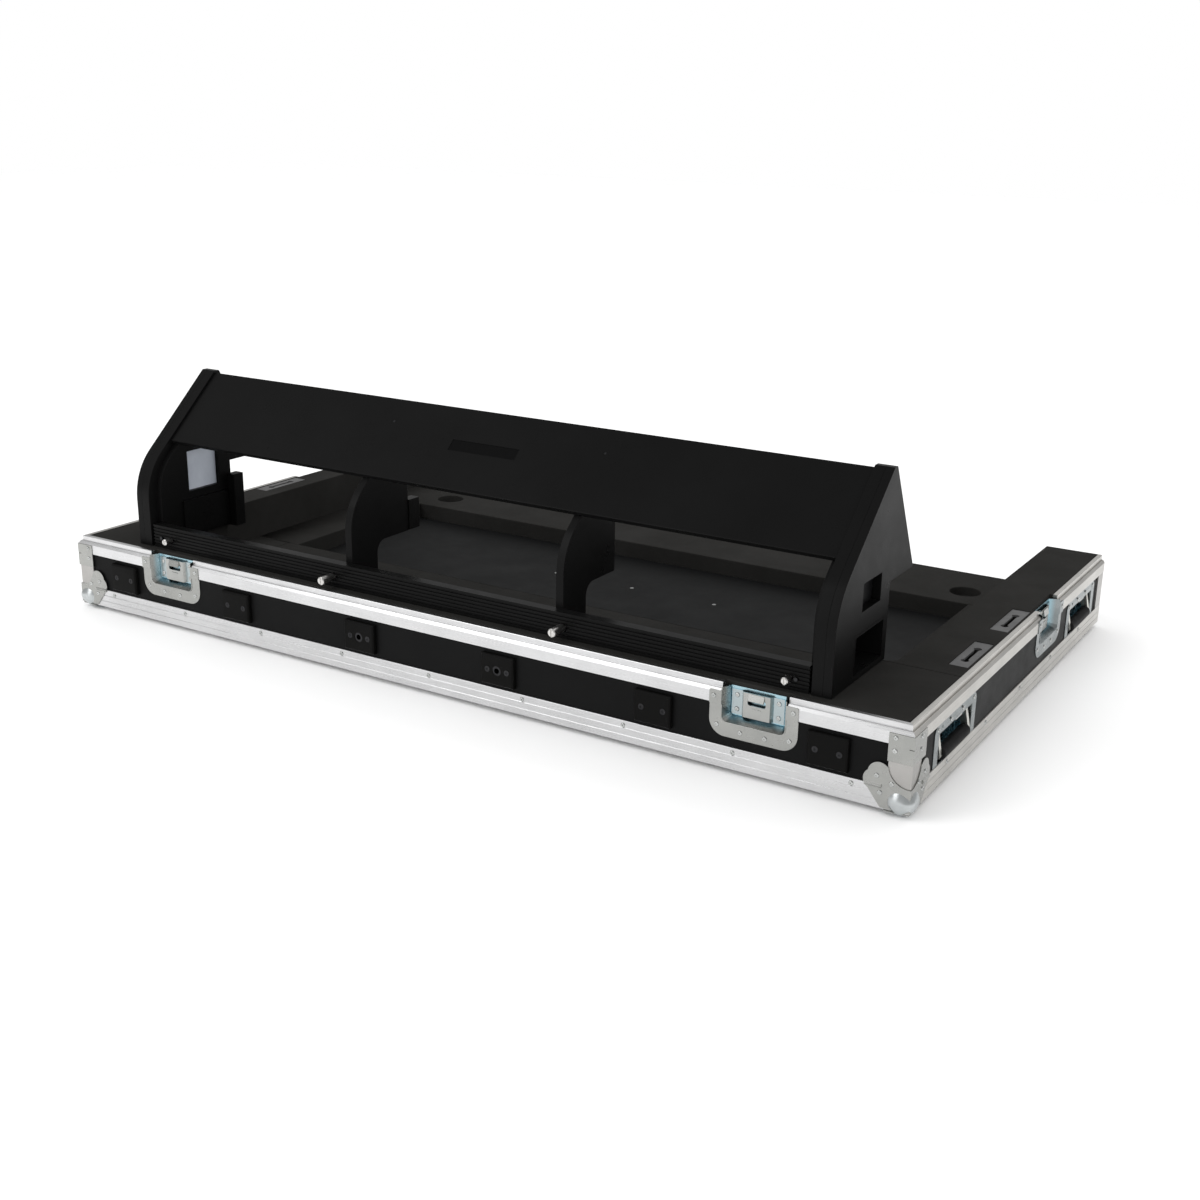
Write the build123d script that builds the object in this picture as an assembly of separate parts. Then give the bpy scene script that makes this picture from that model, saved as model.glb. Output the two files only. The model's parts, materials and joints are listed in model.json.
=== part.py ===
"""Base tray of a mixer flight case, with the cradle that stands in it.

Millimetres, +Z up. X runs along the front, the front faces -Y. While it is built, every
piece is measured from the underside of the tray, with X and Y from the tray's middle. The
finished pieces are then raised by the height of the feet, and moved back by half of what
stands out of the front, so the origin is at the bottom centre of the whole object.
"""

import math
import os

from build123d import *

# Tray: overall size, and the sections it is built from
tray_length = 1430.0
tray_depth = 850.0
tray_height = 113.0
foot_height = 7.0
board_thickness = 9.0
base_thickness = 12.0
floor_sheet_thickness = 3.0
angle_wall = 2.0
bottom_angle_height = 30.0
bottom_angle_flange = 26.0
rim_face_bottom = 86.0
rim_face_top = 101.0
rim_shoulder_height = 107.0
rim_shoulder_depth = 4.2
tongue_start = 5.4
rim_lip_bottom = 92.0
rim_lip_thickness = 1.3
corner_angle_leg = 30.0
rear_board_height = 41.0

# Foam lining and the pit it leaves
foam_skin = 5.0
foam_gap = 0.3
right_ledge_width = 95.0
left_ledge_width = 72.0
front_ledge_depth = 100.0
end_ledge_depth = 191.0
step_height = 45.0
pit_length = 1100.0
pit_from_front = 335.0
pit_from_rear = 167.0
recess_offset = 524.0
recess_from_rear = 105.0
recess_diameter = 50.0
recess_depth = 15.0
ledge_corner_radius = 28.0

# Latch dishes and the keeper plates in them
latch_offset = 506.0
side_latch_from_rear = 299.0
sheet_thickness = 1.2
dish_flange_width = 122.0
dish_flange_bottom = 42.5
dish_flange_top = 103.5
dish_flange_radius = 22.0
dish_mouth_width = 88.0
dish_mouth_bottom = 62.0
dish_back_width = 74.0
dish_back_bottom = 69.0
dish_mouth_radius = 8.0
dish_back_radius = 3.5
dish_depth = 15.0
dish_top = 108.0
rim_gap_clearance = 0.5
keeper_wing = 16.0
keeper_centre_width = 40.0
keeper_rise = 6.0
keeper_bottom = 71.0
keeper_top = 104.0
keeper_plate = 1.6
keeper_slot_width = 25.0
keeper_slot_height = 9.0
keeper_slot_bottom = 88.0
keeper_tab_width = 21.0
keeper_tab_bottom = 94.5
keeper_tab_reach = 3.2
keeper_line_width = 12.0
keeper_line_height = 83.5
latch_rivet_inset = 6.5
latch_rivet_height = 95.5
latch_low_rivets = ((50.0, 57.0), (17.0, 52.0))
keeper_rivet_heights = (78.0, 97.0)

# Carrying handles
handle_from_front = 152.0
handle_from_rear = 126.0
handle_dish_width = 152.0
handle_mouth_width = 122.0
handle_mouth_bottom = 31.0
handle_mouth_top = 72.0
handle_dish_depth = 20.0
handle_dish_radius = 12.0
handle_ridge_height = 0.8
handle_ridge_width = 5.0
handle_ridge_overrun = 29.0
handle_pivot_height = 65.0
handle_pivot_depth = 10.0
handle_grip_depth = 4.0
handle_drop = 25.0
handle_arm_spacing = 97.0
handle_arm_thickness = 7.0
handle_arm_root = 11.0
handle_arm_tip = 9.0
handle_pin_diameter = 5.0
handle_pin_clearance = 0.05
grip_diameter = 17.0
grip_core_diameter = 6.0
spring_wire = 1.5
spring_turns = 11
spring_pitch = 2.2
spring_start = 14.0
spring_clearance = 0.3

# Ball corners, braces and feet
ball_radius = 20.0
ball_inset = 14.0
ball_height = 12.5
ball_flange_reach = 60.0
brace_front_width = 31.5
brace_side_width = 40.0
brace_bottom = 64.0
brace_top = 100.5
foot_diameter = 38.0
foot_inset = 70.0

# Pads on the front
pad_pitch = 243.5
pad_width = 54.0
pad_height = 44.0
pad_thickness = 8.0
pad_bevel = 2.5
pad_centre_height = 58.0
pad_screw_spacing = 32.0
insert_diameter = 14.0
insert_bore = 8.0
insert_length = 14.0
insert_wall = 1.6

# Slotted plates let into the side ledges
plate_width = 26.0
plate_length = 106.0
plate_thickness = 3.0
plate_from_side = 28.5
plate_places = (279.0, 444.0)
slot_length = 62.0
slot_neck = 6.0
slot_end_radius = 5.5
slot_depth = 15.0

# Rivets and screws
rivet_radius = 3.4
rivet_height = 1.2
rivet_rounding = 1.0
rivet_dimple_radius = 0.9
rivet_dimple_depth = 0.7
bottom_rivet_pitch = 160.0
bottom_rivet_height = 23.5
screw_head_radius = 4.0
floor_screw_radius = 3.2
floor_screw_head = 1.6
floor_screw_slot = 0.7
floor_screw_places = (-131.0, 21.0, 177.0)
floor_screw_from_front = 528.0
handle_rivet_places = (22.0, 66.0)
corner_rivet_places = ((-43.0, 42.2), (-23.5, 35.5), (-37.6, 21.4))
brace_rivet_heights = (78.3, 95.0)
brace_rivet_inset = 22.8

# Cradle: cheeks, ribs, sloped panel and sill
cradle_half_length = 597.5
cradle_gap = 0.3
outer_plate = 12.0
middle_plate = 15.0
inner_plate = 9.0
cheek_front = 25.4
cheek_peak_height = 371.0
cheek_peak_front = 183.0
cheek_peak_flat = 10.0
cheek_curve_radius = 98.0
cheek_slope = 41.7
cheek_back = 277.0
wing_height = 219.0
leg_rear = 196.0
panel_thickness = 9.0
panel_recess = 3.6
panel_low_edge = 80.0
panel_width = 140.6
sill_front = 27.0
sill_thickness = 15.6
sill_top = 149.0
sill_grooves = 6
sill_groove_pitch = 5.2
sill_groove_depth = 1.8
rib_thickness = 12.0
rib_places = (-176.0, 192.0)
rib_leg_rear = 100.0
rib_rear = 174.5
rib_notch_height = 169.0
rib_notch_radius = 18.0
batten_width = 16.0
batten_front = 187.0
batten_rear = 208.0
batten_top = 201.0
block_rear = 199.0
block_bottom = 170.0
block_top = 217.0

# Openings in the cheeks
name_window = (106.0, 165.0, 202.0, 239.0)
diffuser_window = (103.0, 169.0, 188.0, 253.0)
diffuser_thickness = 18.0
cup_window = (87.0, 185.0, 119.0, 175.0)
cup_wall = 3.0
cup_bar_diameter = 8.0
cup_bar_places = (98.0, 123.0)
fit_gap = 0.3

# Pins and small plates on the cradle
pin_height = 128.0
long_pin_places = (-195.5, 206.5)
long_pin_diameter = 12.0
long_pin_length = 27.0
long_pin_stud = 8.0
short_pin_places = (-530.0, 539.0)
short_pin_diameter = 10.0
short_pin_length = 14.0
short_pin_stud = 6.0
pin_seat = 12.0
pin_chamfer = 1.2
small_screw_offset = 549.0
front_plate_width = 116.0
front_plate_height = 19.0
front_plate_from_edge = 65.0
front_plate_depth = 1.5
panel_screw_from_edge = 99.5

# Worked out from the above
half_length = tray_length / 2
half_depth = tray_depth / 2
board_back = angle_wall + board_thickness
tongue_end = board_back + rim_lip_thickness
base_bottom = angle_wall
base_top = base_bottom + base_thickness
floor_top = base_top + floor_sheet_thickness
cradle_foot = tray_height + cradle_gap
spring_radius = (handle_pin_diameter + spring_wire) / 2 + spring_clearance
slope = math.tan(math.radians(cheek_slope))
front_standout = ball_radius - ball_inset
rear_standout = rivet_height
placed = Pos(0, (front_standout - rear_standout) / 2, foot_height)


def from_front(distance):
    """The Y of a place measured back from the tray's front face."""
    return distance - half_depth


def block(x0, x1, y0, y1, z0, z1):
    """A plain box between two corners."""
    middle = Pos((x0 + x1) / 2, (y0 + y1) / 2, (z0 + z1) / 2)
    return middle * Box(x1 - x0, y1 - y0, z1 - z0)


def rounded(points, radii):
    """A closed flat outline through the points, each corner rounded by its own radius."""
    count = len(points)
    corners = [Vector(*point) for point in points]
    firsts = []
    arcs = []
    lasts = []
    for index in range(count):
        corner = corners[index]
        back = (corners[index - 1] - corner).normalized()
        ahead = (corners[(index + 1) % count] - corner).normalized()
        radius = radii[index]
        if radius == 0:
            firsts.append(corner)
            lasts.append(corner)
            continue
        half_angle = math.radians(back.get_angle(ahead)) / 2
        reach = radius / math.tan(half_angle)
        middle = corner + (back + ahead).normalized() * (radius / math.sin(half_angle) - radius)
        firsts.append(corner + back * reach)
        lasts.append(corner + ahead * reach)
        arcs.append(ThreePointArc(firsts[-1], middle, lasts[-1]))
    lines = [Line(lasts[index - 1], firsts[index]) for index in range(count)]
    return make_face(lines + arcs)


def along_x(points, radii, x0, x1):
    """A closed outline in Y and Z with rounded corners, carried from x0 to x1."""
    plane = Plane(origin=(x0, 0, 0), x_dir=(0, 1, 0), z_dir=(1, 0, 0))
    return extrude(plane * rounded(points, radii), amount=x1 - x0)


def along_y(points, radii, y0, y1):
    """A closed outline in X and Z with rounded corners, carried from y0 to y1."""
    plane = Plane(origin=(0, y1, 0), x_dir=(1, 0, 0), z_dir=(0, -1, 0))
    return extrude(plane * rounded(points, radii), amount=y1 - y0)


def along_z(points, radii, z0, z1):
    """A closed outline in X and Y with rounded corners, carried from z0 to z1."""
    return extrude(Plane.XY.offset(z0) * rounded(points, radii), amount=z1 - z0)


def cylinder_y(radius, x, y0, y1, z):
    """A cylinder along Y."""
    return Pos(x, (y0 + y1) / 2, z) * Rot(90, 0, 0) * Cylinder(radius, y1 - y0)


def cylinder_x(radius, x0, x1, y, z):
    """A cylinder along X."""
    return Pos((x0 + x1) / 2, y, z) * Rot(0, 90, 0) * Cylinder(radius, x1 - x0)


# Hardware is drawn once, as seen on the front: X along the face, Y into the tray from the
# face of the rim, Z up. These put it on each side.
def on_front(x):
    return Pos(x, -half_depth, 0)


def on_right(distance):
    return Pos(half_length, from_front(distance), 0) * Rot(0, 0, 90)


def on_left(distance):
    return Pos(-half_length, from_front(distance), 0) * Rot(0, 0, -90)


side_handle_places = (handle_from_front, tray_depth - handle_from_rear)
latch_seats = [
    on_front(-latch_offset),
    on_front(latch_offset),
    on_left(tray_depth - side_latch_from_rear),
    on_right(tray_depth - side_latch_from_rear),
]
handle_seats = {
    "right_front": on_right(side_handle_places[0]),
    "right_rear": on_right(side_handle_places[1]),
    "left_front": on_left(side_handle_places[0]),
    "left_rear": on_left(side_handle_places[1]),
}


def write(name, solids):
    """Raise one node's solids onto the feet and write them."""
    found = []
    for shape in solids:
        found.extend((placed * shape).solids())
    export_step(Compound(children=found), f"parts/{name}.step")


# Cuts that the boards, rims and foam share
def latch_cut(grow, depth):
    """The space a latch dish needs, grown by a clearance, open at the top."""
    half = dish_mouth_width / 2 + sheet_thickness + grow
    low = dish_mouth_bottom - sheet_thickness - grow
    return block(-half, half, -5, depth + grow, low, tray_height + 20)


def handle_cut(grow):
    """The space a handle dish needs behind the board's face."""
    half = handle_mouth_width / 2 + sheet_thickness + grow
    low = handle_mouth_bottom - sheet_thickness - grow
    high = handle_mouth_top + sheet_thickness + grow
    back = angle_wall + handle_dish_depth + sheet_thickness + grow
    return block(-half, half, 0, back, low, high)


def cut_hardware(shape, grow):
    """Take the dishes' spaces out of a board or a foam piece."""
    for seat in latch_seats:
        shape -= seat * latch_cut(grow, dish_depth + sheet_thickness)
    for seat in handle_seats.values():
        shape -= seat * handle_cut(grow)
    return shape


# Tray boards
def boards():
    inner_x = half_length - angle_wall
    inner_y = half_depth - angle_wall
    top = rim_shoulder_height - 2 * angle_wall
    front = block(-inner_x, inner_x, -inner_y, -inner_y + board_thickness, base_bottom, top)
    rear_y = (inner_y - board_thickness, inner_y)
    rear = block(-inner_x, inner_x, *rear_y, base_bottom, rear_board_height)
    inside = inner_x - board_thickness
    raised = tray_height - foam_skin
    for x0, x1 in ((-inside, -half_length + left_ledge_width), (half_length - right_ledge_width, inside)):
        rear += block(x0, x1, *rear_y, base_bottom, raised)
    for x0, x1 in ((-inner_x, -inside), (inside, inner_x)):
        rear += block(x0, x1, *rear_y, base_bottom, top)
    rear -= on_right(half_depth) * rim_bar(tray_depth)
    rear -= on_left(half_depth) * rim_bar(tray_depth)
    side = block(
        inner_x - board_thickness,
        inner_x,
        -inner_y + board_thickness,
        inner_y - board_thickness,
        base_bottom,
        top,
    )
    base = block(
        -inner_x + board_thickness,
        inner_x - board_thickness,
        -inner_y + board_thickness,
        inner_y - board_thickness,
        base_bottom,
        base_top,
    )
    write("base_board", [base])
    for x in (-pad_pitch / 2, pad_pitch / 2):
        sleeve = insert_bore / 2 + insert_wall
        front -= on_front(0) * cylinder_y(sleeve, x, 0, board_back + 1, pad_centre_height)
    write("front_board", [cut_hardware(front, rim_gap_clearance)])
    write("rear_board", [rear])
    write("right_board", [cut_hardware(side, rim_gap_clearance)])
    write("left_board", [cut_hardware(mirror(side, about=Plane.YZ), rim_gap_clearance)])


# Aluminium sections
def rim_bar(length):
    """The top section, drawn as on the front: bevelled face, gap line, raised tongue, inner lip."""
    web_top = rim_shoulder_height
    web_bottom = rim_shoulder_height - 2 * angle_wall
    groove_floor = web_top - 1.5
    points = [
        (0, rim_face_bottom),
        (0, rim_face_top),
        (rim_shoulder_depth, web_top),
        (rim_shoulder_depth, groove_floor),
        (tongue_start, groove_floor),
        (tongue_start, tray_height),
        (tongue_end, tray_height),
        (tongue_end, rim_lip_bottom),
        (board_back, rim_lip_bottom),
        (board_back, web_bottom),
        (angle_wall, web_bottom),
        (angle_wall, rim_face_bottom),
    ]
    radii = [0, 0.8, 0.8, 0, 0, 1.2, 1.2, 0, 0, 0, 0, 0]
    return along_x(points, radii, -length / 2, length / 2)


def mitre_front():
    """Everything in front of the two 45 degree corner planes."""
    deep = half_depth
    points = [
        (-half_length - 10, -half_depth - 10),
        (half_length + 10, -half_depth - 10),
        (half_length - deep, -half_depth + deep),
        (-half_length + deep, -half_depth + deep),
    ]
    return along_z(points, [0] * 4, -20, tray_height + 20)


def rims():
    front_zone = mitre_front()
    front = on_front(0) * rim_bar(tray_length)
    front = front & front_zone
    right = (on_right(half_depth) * rim_bar(tray_depth)) - front_zone
    left = (on_left(half_depth) * rim_bar(tray_depth)) - front_zone
    half_gap = dish_mouth_width / 2 + sheet_thickness + rim_gap_clearance
    gap = block(
        -half_gap,
        half_gap,
        -5,
        tongue_end + 5,
        dish_flange_bottom,
        tray_height + 20,
    )
    rim_nodes = {"front_rim": front, "right_rim": right, "left_rim": left}
    for name, rim in rim_nodes.items():
        for seat in latch_seats:
            rim = rim - seat * gap
        write(name, rim.solids())


def bottom_angle(length):
    """The bottom section: a tall face with two lengthwise lines, and a flange under the base."""
    low_line = bottom_angle_height / 3
    high_line = 2 * bottom_angle_height / 3
    line = 0.6
    points = [
        (0, 0),
        (0, low_line - line),
        (line, low_line),
        (0, low_line + line),
        (0, high_line - line),
        (line, high_line),
        (0, high_line + line),
        (0, bottom_angle_height),
        (angle_wall, bottom_angle_height),
        (angle_wall, angle_wall),
        (bottom_angle_flange, angle_wall),
        (bottom_angle_flange, 0),
    ]
    radii = [1.0] + [0] * 6 + [0.8] + [0] * 4
    return along_x(points, radii, -length / 2, length / 2)


def bottom_angles():
    front_zone = mitre_front()
    rear_zone = mirror(front_zone, about=Plane.XZ)
    front = (on_front(0) * bottom_angle(tray_length)) & front_zone
    rear = mirror(front, about=Plane.XZ)
    side_seats = {"right": on_right(half_depth), "left": on_left(half_depth)}
    write("front_bottom_angle", [front])
    write("rear_bottom_angle", [rear])
    for side, seat in side_seats.items():
        bar = seat * bottom_angle(tray_depth) - front_zone - rear_zone
        write(f"{side}_bottom_angle", [bar])


def corner_angle(top):
    """An upright angle over a corner, its outer edge at the origin, running back and left."""
    points = [
        (0, 0),
        (0, corner_angle_leg),
        (-angle_wall, corner_angle_leg),
        (-angle_wall, angle_wall),
        (-corner_angle_leg, angle_wall),
        (-corner_angle_leg, 0),
    ]
    return along_z(points, [1.5, 0, 0, 0, 0, 0], bottom_angle_height, top)


def corner_angles():
    front = Pos(half_length, -half_depth, 0) * corner_angle(rim_face_bottom)
    pair = [front, mirror(front, about=Plane.XZ)]
    write("corner_angles", pair + [mirror(part, about=Plane.YZ) for part in pair])


# Foam and floor
def foam():
    inner_x = half_length - board_back
    back_of_tongue = half_length - tongue_end
    rear_face = half_depth - board_back
    cheek_inner = cradle_half_length - outer_plate - middle_plate
    left_inner = -half_length + left_ledge_width
    right_inner = half_length - right_ledge_width
    front_face = from_front(tongue_end)
    step_bottom = base_top

    ledge_y = (front_face, from_front(front_ledge_depth))
    end = from_front(end_ledge_depth)
    front = block(-back_of_tongue, back_of_tongue, *ledge_y, step_bottom, tray_height)
    for x0, x1 in ((-back_of_tongue, -cheek_inner), (cheek_inner, back_of_tongue)):
        front += block(x0, x1, ledge_y[1], end, step_bottom, tray_height)
    write("foam_front_ledge", [cut_hardware(front, 2 * foam_gap)])

    ledges = {"right": (right_inner, back_of_tongue), "left": (-back_of_tongue, left_inner)}
    for side, (x0, x1) in ledges.items():
        low_y = from_front(end_ledge_depth)
        ledge = block(x0, x1, low_y, rear_face, step_bottom, tray_height)
        skin = block(x0, x1, rear_face, half_depth, tray_height - foam_skin, tray_height)
        ledge = cut_hardware(ledge + skin, 2 * foam_gap)
        if side == "right":
            corner_x = x0 - ledge_corner_radius
            corner_y = low_y + ledge_corner_radius
            web = block(corner_x, x0, low_y, corner_y, step_height, tray_height)
            ledge += web - Pos(corner_x, corner_y, 0) * Cylinder(ledge_corner_radius, 3 * tray_height)
        for place in plate_places:
            ledge -= ledge_plate_seat(side, place)
        write(f"foam_{side}_ledge", [ledge])

    pit_y = (from_front(pit_from_front), from_front(tray_depth - pit_from_rear))
    rear = block(left_inner, right_inner, pit_y[1], rear_face, step_bottom, step_height)
    rear += block(left_inner, right_inner, rear_face, half_depth, rear_board_height, step_height)
    for x in (-recess_offset, recess_offset):
        top = Pos(x, from_front(tray_depth - recess_from_rear), step_height)
        rear -= top * Cylinder(recess_diameter / 2, 2 * recess_depth)
    write("foam_rear_block", [rear])

    half_pit = pit_length / 2
    middle_front = block(
        -cheek_inner, cheek_inner, from_front(front_ledge_depth), pit_y[0], step_bottom, step_height
    )
    left_corner = block(left_inner, -cheek_inner, end, pit_y[0], step_bottom, step_height)
    right_corner = block(cheek_inner, right_inner, end, pit_y[0], step_bottom, step_height)
    left_band = block(left_inner, -half_pit, *pit_y, step_bottom, step_height)
    right_band = block(half_pit, right_inner, *pit_y, step_bottom, step_height)
    write("foam_step", [middle_front, left_corner, right_corner, left_band, right_band])

    sheet = block(-half_pit, half_pit, *pit_y, base_top, floor_top)
    low_radius = floor_screw_radius - floor_screw_head
    sink = Cone(low_radius, floor_screw_radius, floor_screw_head)
    slot = Box(1.4 * floor_screw_radius, floor_screw_slot, 2 * floor_screw_slot)
    screw = sink - Pos(0, 0, floor_screw_head / 2) * slot
    heads = []
    for x in floor_screw_places:
        place = Pos(x, from_front(floor_screw_from_front), floor_top - floor_screw_head / 2)
        sheet -= place * sink
        heads.append(place * screw)
    write("floor_sheet", [sheet])
    write("floor_screws", heads)


def ledge_plate_place(side, place):
    """The centre of a slotted plate on one side ledge, at the ledge's top."""
    x = half_length - plate_from_side
    return Pos(x if side == "right" else -x, from_front(place), tray_height)


def ledge_plate_seat(side, place):
    """The shallow seat for a plate, and the deeper hollow under its slot."""
    seat = Box(plate_width + foam_gap, plate_length + foam_gap, 2 * (plate_thickness + 1.0))
    hollow = Box(2 * slot_end_radius, slot_length, 2 * slot_depth)
    return ledge_plate_place(side, place) * (seat + hollow)


def ledge_plates():
    """Grey plates with a slot that is round and wider at both ends, sunk 1 mm below the foam."""
    half = (slot_length - 2 * slot_end_radius) / 2
    hole = Box(slot_neck, 2 * half, 2 * plate_thickness)
    for y in (-half, half):
        hole += Pos(0, y, 0) * Cylinder(slot_end_radius, 2 * plate_thickness)
    plate = Box(plate_width, plate_length, plate_thickness) - hole
    plate = Pos(0, 0, -1.0 - plate_thickness / 2) * plate
    found = []
    for side in ("left", "right"):
        for place in plate_places:
            found.append(ledge_plate_place(side, place) * plate)
    write("ledge_slot_plates", found)


# Latch dishes
def dish_void(grow):
    """The sloped space inside a latch dish, grown by the sheet for its outside."""
    face_half = dish_mouth_width / 2 + grow
    back_half = dish_back_width / 2 + grow
    high = tray_height + 20
    face_low = dish_mouth_bottom - grow
    back_low = dish_back_bottom - grow
    face = [(-face_half, face_low), (face_half, face_low), (face_half, high), (-face_half, high)]
    back = [(-back_half, back_low), (back_half, back_low), (back_half, high), (-back_half, high)]
    sections = []
    face_radii = [dish_mouth_radius + grow, dish_mouth_radius + grow, 0, 0]
    back_radii = [dish_back_radius + grow, dish_back_radius + grow, 0, 0]
    outlines = ((face, face_radii, -sheet_thickness), (back, back_radii, dish_depth + grow))
    for points, radii, depth in outlines:
        plane = Plane(origin=(0, depth, 0), x_dir=(1, 0, 0), z_dir=(0, -1, 0))
        sections.append(plane * rounded(points, radii))
    return loft(sections)


def latch_dish():
    """One pressed dish, drawn as on the front: a flange over rim and board, and the sloped hollow."""
    half = dish_flange_width / 2
    top_corner = 2.0
    low, middle, high = dish_flange_bottom, rim_face_bottom, dish_flange_top
    low_part = [(-half, low), (half, low), (half, middle), (-half, middle)]
    low_radii = [dish_flange_radius, dish_flange_radius, 0, 0]
    lower = along_y(low_part, low_radii, angle_wall - sheet_thickness, angle_wall)
    high_part = [(-half, middle), (half, middle), (half, high), (-half, high)]
    upper = along_y(high_part, [0, 0, top_corner, top_corner], -sheet_thickness, 0)
    step = block(
        -half, half, -sheet_thickness, angle_wall, rim_face_bottom - sheet_thickness, rim_face_bottom
    )
    flange = lower + upper + step
    walls = dish_void(sheet_thickness) - block(-100, 100, -10, 0, 0, 200)
    dish = (flange + walls) - dish_void(0)
    return dish - block(-100, 100, -10, 60, dish_top, 200)


def keeper():
    """The keeper plate: a raised centre between two riveted wings, a slot and a bent tab."""
    back = dish_depth
    raised = back - keeper_rise
    half = keeper_centre_width / 2
    outer = half + keeper_wing
    lean = keeper_plate
    points = [
        (-outer, back),
        (-outer, back - keeper_plate),
        (-half - lean, back - keeper_plate),
        (-half + lean, raised),
        (half - lean, raised),
        (half + lean, back - keeper_plate),
        (outer, back - keeper_plate),
        (outer, back),
        (half + 2 * lean, back),
        (half - lean, raised + keeper_plate),
        (-half + lean, raised + keeper_plate),
        (-half - 2 * lean, back),
    ]
    plate = along_z(points, [0] * 12, keeper_bottom, keeper_top)
    slot_high = keeper_slot_bottom + keeper_slot_height
    slot = [
        (-keeper_slot_width / 2, keeper_slot_bottom),
        (keeper_slot_width / 2, keeper_slot_bottom),
        (keeper_slot_width / 2, slot_high),
        (-keeper_slot_width / 2, slot_high),
    ]
    plate -= along_y(slot, [3.0] * 4, raised - 1, dish_depth + 1)
    tab_tip = raised - keeper_tab_reach
    tab = [
        (raised + keeper_plate / 2, slot_high + 1.0),
        (tab_tip + keeper_plate, keeper_tab_bottom),
        (tab_tip, keeper_tab_bottom),
        (raised - keeper_plate / 2, keeper_top - 0.5),
        (raised + keeper_plate / 2, keeper_top - 0.5),
    ]
    half_tab = keeper_tab_width / 2
    plate += along_x(tab, [0, 0.4, 0.4, 0, 0], -half_tab, half_tab)
    low = keeper_line_height
    line = [(raised + 0.5, low), (raised - 0.7, low), (raised - 0.7, low + 1.2), (raised + 0.5, low + 1.2)]
    half_line = keeper_line_width / 2
    return plate + along_x(line, [0, 0.5, 0.5, 0], -half_line, half_line)


def rivet(x, z, face):
    """A low rivet head with a rounded rim standing out of a face, with a dimple in it."""
    crown = Cone(rivet_radius, rivet_radius - rivet_height / 2, rivet_height)
    crown = fillet(crown.edges().sort_by(Axis.Z)[-1], rivet_rounding)
    head = Pos(x, face - rivet_height / 2, z) * Rot(90, 0, 0) * crown
    dimple_floor = face - rivet_height + rivet_dimple_depth
    return head - cylinder_y(rivet_dimple_radius, x, face - 5, dimple_floor, z)


def latches():
    dish = latch_dish()
    plate = keeper()
    write("front_latch_dishes", [seat * dish for seat in latch_seats[:2]])
    write("side_latch_dishes", [seat * dish for seat in latch_seats[2:]])
    write("latch_keepers", [seat * plate for seat in latch_seats])
    heads = []
    upper_x = dish_flange_width / 2 - latch_rivet_inset
    wing_x = (keeper_centre_width + keeper_wing + keeper_plate) / 2
    for sign in (-1, 1):
        heads.append(rivet(sign * upper_x, latch_rivet_height, -sheet_thickness))
        for x, z in latch_low_rivets:
            heads.append(rivet(sign * x, z, angle_wall - sheet_thickness))
        for z in keeper_rivet_heights:
            heads.append(rivet(sign * wing_x, z, dish_depth - keeper_plate))
    write("latch_rivets", [seat * head for seat in latch_seats for head in heads])


# Carrying handles
def handle_dish():
    """The dish of one handle: a flange between the two sections, and a square hollow."""
    half = handle_dish_width / 2
    face = angle_wall - sheet_thickness
    low, high = bottom_angle_height, rim_face_bottom
    corners = [(-half, low), (half, low), (half, high), (-half, high)]
    flange = along_y(corners, [0, 0, handle_dish_radius, handle_dish_radius], face, angle_wall)
    mouth = handle_mouth_width / 2
    outer = block(
        -mouth - sheet_thickness,
        mouth + sheet_thickness,
        face,
        angle_wall + handle_dish_depth + sheet_thickness,
        handle_mouth_bottom - sheet_thickness,
        handle_mouth_top + sheet_thickness,
    )
    outer &= block(-half, half, face, 60, bottom_angle_height, rim_face_bottom)
    hollow = block(
        -mouth, mouth, -5, angle_wall + handle_dish_depth, handle_mouth_bottom, handle_mouth_top
    )
    dish = (flange + outer) - hollow
    ridge_z = (handle_mouth_top + rim_face_bottom) / 2
    crest = face - handle_ridge_height
    foot = handle_ridge_width / 2
    ridge = [(crest, ridge_z - 1), (crest, ridge_z + 1), (face, ridge_z + foot), (face, ridge_z - foot)]
    ridge_end = handle_rivet_places[0] + handle_ridge_overrun
    return dish + along_x(ridge, [0] * 4, -ridge_end, ridge_end)


def handle_bail():
    """The moving bail: two flat tapered arms and the core rod inside the grip."""
    pivot_y = handle_pivot_depth
    pivot_z = handle_pivot_height
    grip_y = handle_grip_depth
    grip_z = pivot_z - handle_drop
    root = handle_arm_root / 2
    tip = handle_arm_tip / 2
    half = handle_arm_spacing / 2
    arm = cylinder_x(root, half, half + handle_arm_thickness, pivot_y, pivot_z)
    arm += cylinder_x(tip, half, half + handle_arm_thickness, grip_y, grip_z)
    web = [
        (pivot_y - root, pivot_z),
        (pivot_y + root, pivot_z),
        (grip_y + tip, grip_z),
        (grip_y - tip, grip_z),
    ]
    arm += along_x(web, [0] * 4, half, half + handle_arm_thickness)
    bore = handle_pin_diameter / 2 + handle_pin_clearance
    arm -= cylinder_x(bore, half - 1, half + handle_arm_thickness + 1, pivot_y, pivot_z)
    rod = cylinder_x(grip_core_diameter / 2, -half, half, grip_y, grip_z)
    return arm + mirror(arm, about=Plane.YZ) + rod


def handle_grip():
    """The moulded grip round the core rod, with rounded ends."""
    half = handle_arm_spacing / 2 - fit_gap
    z = handle_pivot_height - handle_drop
    grip = cylinder_x(grip_diameter / 2, -half, half, handle_grip_depth, z)
    grip = fillet(grip.edges().filter_by(GeomType.CIRCLE), 3.0)
    return grip - cylinder_x(grip_core_diameter / 2, -half - 1, half + 1, handle_grip_depth, z)


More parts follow.
